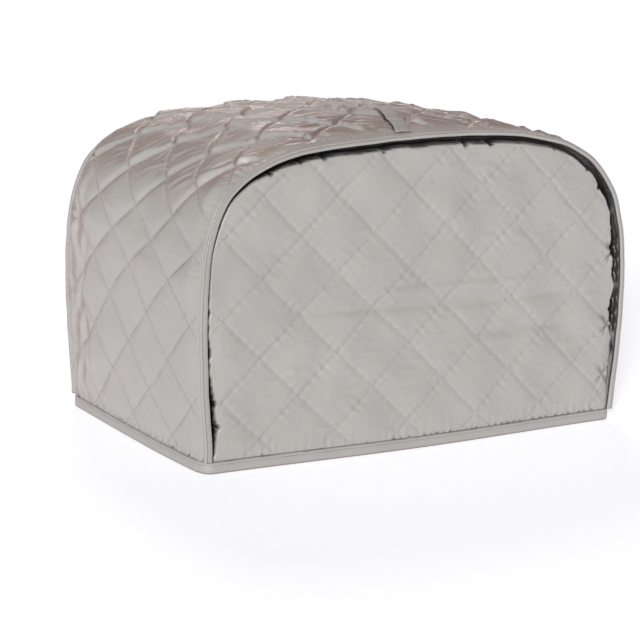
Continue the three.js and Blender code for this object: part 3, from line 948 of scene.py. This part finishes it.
def wrap_stitches():
    reach = WRAP_HALF_DEPTH - STITCH_MARGIN
    lines = lattice_lines((STITCH_MARGIN, SEAM_LENGTH - STITCH_MARGIN), (-reach, reach), wrap_lattice)
    rows = []
    for line in lines:
        arc, y = line[:, 0], line[:, 1]
        height = wrap_height(arc, y) + STITCH_ABOVE
        base = wrap_points(arc, y, height)
        rows.append((base, wrap_points(arc, y, height + 1) - base))
    return make_stitches("wrap_stitching", rows)


def inside_panel(x, z):
    left = OUTLINE_ARCS < SEAM_LENGTH / 2
    order = np.argsort(OUTLINE_X)
    low_left = np.interp(z, OUTLINE_Z[left], OUTLINE_X[left])
    low_right = np.interp(z, OUTLINE_Z[~left][::-1], OUTLINE_X[~left][::-1])
    under_arch = z < np.interp(x, OUTLINE_X[order], OUTLINE_Z[order])
    return np.where(z < WIDEST_Z, (x > low_left) & (x < low_right), under_arch)


def panel_stitches(name, side):
    up, across = (SEAM_FOOT_Z + 2, 312), (-PANEL_HALF_WIDTH, PANEL_HALF_WIDTH)
    lines = lattice_lines(up, across, lambda z, x: panel_lattice(x, z))
    rows = []
    for line in lines:
        z, x = line[:, 0], line[:, 1]
        distance, arc = nearest_on_outline(x, z)
        inside = inside_panel(x, z) & (distance > column(RECESS, arc, 1) + 3)
        if inside.sum() < 4:
            continue
        x, z, distance, arc = x[inside], z[inside], distance[inside], arc[inside]
        height = panel_height(x, z, side, distance, arc) + STITCH_ABOVE
        normals = np.tile([0.0, side, 0.0], (len(x), 1))
        rows.append((np.stack([x, side * (PANEL_FACE_Y + height), z], -1), normals))
    return make_stitches(name, rows)


def binding_stitches(name, side):
    arcs = np.arange(6, SEAM_LENGTH - 6, 1.5)
    x, z = seam_at(arcs, BINDING_PROUD - SEAM_STITCH[0] * tape_scale(arcs))
    y = np.full(arcs.shape, side * (BINDING_FRONT_Y - SEAM_STITCH[1]))
    normals = np.tile([0.0, side, 0.0], (len(arcs), 1))
    return make_stitches(name, [(np.stack([x, y, z], -1), normals)])


def strap_stitches():
    """A line of stitches just inside each long edge of the strap."""
    rings = strap_rings()
    sides = rings.shape[1] // 2
    rows = []
    for number in (sides + 1, 2 * sides - 2):
        path = rings[2:-2, number]
        rows.append((path, np.tile([0.0, 0.0, 1.0], (len(path), 1))))
    return make_stitches("strap_stitching", rows)


def hem_stitches():
    stations = hem_line()
    stations.append(stations[0])
    normals = np.array([(*normal, 0.0) for _, normal in stations])
    face = np.array([(*point, HEM_STITCH[1]) for point, _ in stations])
    return make_stitches("hem_stitching", [(face - normals * HEM_STITCH[0], normals)])


# Materials: the satin's grey and the mauve of its painted shade, the tape, the thread and the painted black
# shadow of the slots

CLOTH = (0.333, 0.32, 0.304)
PAINTED_SHADE_MAUVE = (0.243, 0.184, 0.165)
TAPE = (0.313, 0.304, 0.289)
THREAD = (0.235, 0.224, 0.214)
PAINTED_SHADOW_BLACK = (0.012, 0.011, 0.011)

# Scale of the texture, and height in metres, of the cloth's small ridges and of its weave
RIDGES = (95.0, 0.0012)
WEAVE = (320.0, 0.00022)

# Scale of the fuzz on the threads, and of the cloth's broad lighter places
FUZZ_SCALE = 420.0
BROAD_SCALE = 14.0


class Nodes:
    """Small helper to write a material's nodes."""

    def __init__(self, name):
        self.material = bpy.data.materials.new(name)
        self.material.use_nodes = True
        self.tree = self.material.node_tree
        self.shader = self.tree.nodes["Principled BSDF"]

    def add(self, kind, inputs, **settings):
        node = self.tree.nodes.new(kind)
        for key, value in settings.items():
            setattr(node, key, value)
        for key, value in inputs.items():
            self.feed(node.inputs[key], value)
        return node

    def feed(self, socket, value):
        if isinstance(value, bpy.types.NodeSocket):
            self.tree.links.new(value, socket)
        else:
            socket.default_value = value

    def shade(self, **inputs):
        """Sets sockets of the shader; a socket's name is written with underscores."""
        for key, value in inputs.items():
            self.feed(self.shader.inputs[key.replace("_", " ")], value)

    def scaled(self, value, factor, added):
        inputs = {0: value, 1: factor, 2: added}
        return self.add("ShaderNodeMath", inputs, operation="MULTIPLY_ADD").outputs[0]

    def mix(self, share, a, b):
        return self.add("ShaderNodeMix", {0: share, 6: a, 7: b}, data_type="RGBA").outputs[2]

    def noise(self, position, scale, detail, **more):
        inputs = {"Vector": position, "Scale": scale, "Detail": detail, **more}
        return self.add("ShaderNodeTexNoise", inputs).outputs[0]

    def bump(self, height, distance, strength, **more):
        inputs = {"Height": height, "Distance": distance, "Strength": strength, **more}
        return self.add("ShaderNodeBump", inputs).outputs[0]

    def value(self, name):
        return self.add("ShaderNodeAttribute", {}, attribute_name=name).outputs["Fac"]


def cloth_colour(nodes, broad, colour, with_painted_shade):
    """Colour with broad light and dark places from noise; a cloth with painted shade also gets the painted
    mauve shade and the painted black shadow of its slots.
    """
    lighter = nodes.scaled(broad, 0.22, 0.89)
    shade = nodes.mix(nodes.value("painted_shade"), (*colour, 1), (*PAINTED_SHADE_MAUVE, 1)) if with_painted_shade else colour
    varied = nodes.add("ShaderNodeVectorMath", {0: shade, "Scale": lighter}, operation="SCALE").outputs[0]
    return nodes.mix(nodes.value("painted_darkness"), varied, (*PAINTED_SHADOW_BLACK, 1)) if with_painted_shade else varied


def cloth_bump(nodes, position, strength):
    """Small ridges, and over them the weave's threads."""
    uv = nodes.add("ShaderNodeUVMap", {}, uv_map="cloth").outputs[0]
    wave = {"Vector": uv, "Scale": WEAVE[0], "Distortion": 0.6, "Detail": 1.0}
    threads = nodes.add("ShaderNodeTexWave", wave, bands_direction="DIAGONAL").outputs["Fac"]
    weave = nodes.scaled(threads, 0.35, nodes.noise(position, FUZZ_SCALE, 2.0))
    ridged = nodes.bump(nodes.noise(position, RIDGES[0], 4.0, Roughness=0.55), RIDGES[1], strength)
    return nodes.bump(weave, WEAVE[1], strength, Normal=ridged)


def fabric(name, colour, bump, roughness, sheen, with_painted_shade=True):
    nodes = Nodes(name)
    position = nodes.add("ShaderNodeTexCoord", {}).outputs["Object"]
    broad = nodes.noise(position, BROAD_SCALE, 3.0)
    nodes.shade(
        Base_Color=cloth_colour(nodes, broad, colour, with_painted_shade),
        Roughness=nodes.scaled(broad, 0.16, roughness - 0.08),
        Normal=cloth_bump(nodes, position, bump))
    nodes.shade(Specular_IOR_Level=0.5, Sheen_Weight=sheen, Sheen_Roughness=0.35)
    nodes.shade(Sheen_Tint=(0.95, 0.83, 0.82, 1))
    return nodes.material


# Camera of the photograph, in the hood's own frame

CAMERA_PLACE = (-1135.3, -1774.0, 551.0)
CAMERA_YAW = 31.9
CAMERA_PITCH = 12.1
CAMERA_ROLL = 1.8
CAMERA_LENS = 114.4
SENSOR_WIDTH = 36.0
FARTHEST_SEEN = 50000.0


def make_camera():
    yaw, pitch, roll = (math.radians(v) for v in (CAMERA_YAW, CAMERA_PITCH, CAMERA_ROLL))
    forward = Vector((math.sin(yaw) * math.cos(pitch), math.cos(yaw) * math.cos(pitch), -math.sin(pitch)))
    level = Vector((math.cos(yaw), -math.sin(yaw), 0))
    upright = level.cross(forward)
    right = level * math.cos(roll) + upright * math.sin(roll)
    up = upright * math.cos(roll) - level * math.sin(roll)
    data = bpy.data.cameras.new("camera")
    data.lens = CAMERA_LENS
    data.sensor_width = SENSOR_WIDTH
    data.clip_end = FARTHEST_SEEN * MM
    camera = bpy.data.objects.new("camera", data)
    rotation = Matrix((right, up, -forward)).transposed().to_4x4()
    camera.matrix_world = Matrix.Translation(Vector(place([CAMERA_PLACE])[0])) @ rotation
    bpy.context.scene.collection.objects.link(camera)
    bpy.context.scene.camera = camera


def sun(name, azimuth, elevation, spread, strength, colour):
    """Soft distant light that comes from an azimuth, 0 behind the hood and 90 on its right."""
    data = bpy.data.lights.new(name, "SUN")
    data.angle = math.radians(spread)
    data.energy = strength
    data.color = colour
    light = bpy.data.objects.new(name, data)
    a, e = math.radians(azimuth), math.radians(elevation)
    towards = Vector((math.sin(a) * math.cos(e), math.cos(a) * math.cos(e), math.sin(e)))
    light.rotation_euler = towards.to_track_quat("Z", "Y").to_euler()
    bpy.context.scene.collection.objects.link(light)


FLOOR_HALF = 20000.0
FLOOR = (0.62, 0.627, 0.665)
FLOOR_GLOW = (0.97, 0.97, 1)
FLOOR_GLOW_STRENGTH = 0.585
ROOM = (1, 0.985, 0.98)
ROOM_STRENGTH = 0.25
BACKDROP_STRENGTH = 1.1

# Suns: azimuth, elevation, spread, strength, colour
SUNS = {
    "key": (222, 18, 10, 3.3, (1, 0.99, 0.975)),
    "back": (25, 40, 16, 0.7, (1, 0.9, 0.88)),
}


def make_floor():
    corners = [(x, y, 0) for x, y in ((-1, -1), (1, -1), (1, 1), (-1, 1))]
    floor = new_object("floor", np.array(corners) * FLOOR_HALF, [(0, 1, 2, 3)])
    nodes = Nodes("pale_floor")
    nodes.shade(Base_Color=(*FLOOR, 1), Roughness=0.9, Specular_IOR_Level=0.1)
    nodes.shade(Emission_Color=(*FLOOR_GLOW, 1), Emission_Strength=FLOOR_GLOW_STRENGTH)
    floor.data.materials.append(nodes.material)


def make_world():
    """Soft room light; where the camera sees past the floor, it is white."""
    world = bpy.data.worlds.new("studio")
    world.use_nodes = True
    tree = world.node_tree
    background = tree.nodes["Background"]
    background.inputs["Color"].default_value = (*ROOM, 1)
    strength = tree.nodes.new("ShaderNodeMapRange")
    strength.inputs["To Min"].default_value = ROOM_STRENGTH
    strength.inputs["To Max"].default_value = BACKDROP_STRENGTH
    seen = tree.nodes.new("ShaderNodeLightPath")
    tree.links.new(seen.outputs["Is Camera Ray"], strength.inputs["Value"])
    tree.links.new(strength.outputs["Result"], background.inputs["Strength"])
    bpy.context.scene.world = world


def make_studio():
    make_floor()
    make_world()
    for name, settings in SUNS.items():
        sun(name, *settings)
    bpy.context.scene.view_settings.view_transform = "Standard"


def finish_piece(piece, material, slot, *nodes):
    piece.data.materials.append(material)
    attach(piece, "root")
    if nodes:
        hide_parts(*nodes)
    return piece


# The scene itself

make_camera()

satin = fabric("quilted_satin", CLOTH, bump=0.5, roughness=0.38, sheen=0.3)
tape = fabric("binding_tape", TAPE, bump=0.4, roughness=0.5, sheen=0.2)
thread = fabric("sewing_thread", THREAD, bump=0.3, roughness=0.5, sheen=0.1, with_painted_shade=False)

wrap = finish_piece(make_wrap(), satin, "quilted_cloth", "wrap_panel")
front = finish_piece(make_panel("quilted_front", FRONT), satin, "quilted_cloth", "front_panel")
back = finish_piece(make_panel("quilted_back", BACK), satin, "quilted_cloth", "back_panel")
front_tape = finish_piece(make_seam_binding("front_seam_tape", FRONT), tape, "binding", "front_binding")
back_tape = finish_piece(make_seam_binding("back_seam_tape", BACK), tape, "binding", "back_binding")
hem = finish_piece(make_hem_binding(), tape, "binding", "hem_binding")
strap = finish_piece(make_strap(), tape, "strap", "top_strap")
wrap_sewing = finish_piece(wrap_stitches(), thread, "quilted_cloth")
front_sewing = finish_piece(panel_stitches("front_stitching", FRONT), thread, "quilted_cloth")
back_sewing = finish_piece(panel_stitches("back_stitching", BACK), thread, "quilted_cloth")
front_tape_sewing = finish_piece(binding_stitches("front_tape_stitching", FRONT), thread, "binding")
back_tape_sewing = finish_piece(binding_stitches("back_tape_stitching", BACK), thread, "binding")
hem_sewing = finish_piece(hem_stitches(), thread, "binding")
strap_sewing = finish_piece(strap_stitches(), thread, "strap")

make_studio()
